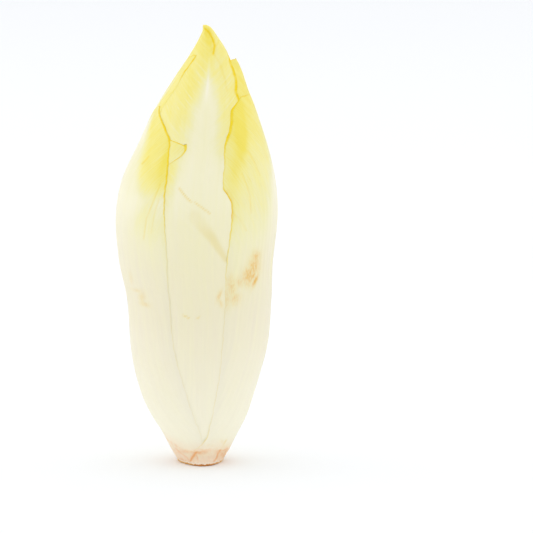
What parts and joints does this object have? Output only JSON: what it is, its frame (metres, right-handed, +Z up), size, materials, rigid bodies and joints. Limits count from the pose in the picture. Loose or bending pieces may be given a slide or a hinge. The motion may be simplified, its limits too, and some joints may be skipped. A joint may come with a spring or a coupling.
{
  "type": "belgian endive",
  "caption": "Head of Belgian endive: a long tapered bud of tightly wrapped pale leaves with yellow tips, standing on its flat cut stem.",
  "frame": {"origin": "centre of the flat cut face at the bottom of the stem", "axes": "+Z up along the head towards the leaf tips, -Y towards the front, where the long pointed leaf lies open between the two outer leaves, +X towards the right-hand outer leaf"},
  "size_m": [0.0614, 0.0576, 0.17],
  "materials": {
    "leaf": "satin",
    "stem": "matt"
  },
  "bodies": {
    "root": {"stem": "stem", "right_outer_leaf": "leaf", "left_outer_leaf": "leaf", "torn_left_leaf": "leaf", "back_outer_leaf": "leaf", "upper_left_leaf": "leaf", "front_leaf": "leaf", "upper_right_leaf": "leaf", "inner_leaf_01": "leaf", "inner_leaf_02": "leaf", "inner_leaf_03": "leaf", "inner_leaf_04": "leaf", "inner_leaf_05": "leaf", "inner_leaf_06": "leaf", "inner_leaf_07": "leaf", "inner_leaf_08": "leaf", "inner_leaf_09": "leaf", "inner_leaf_10": "leaf", "inner_leaf_11": "leaf", "inner_leaf_12": "leaf"}
  },
  "joints": []
}
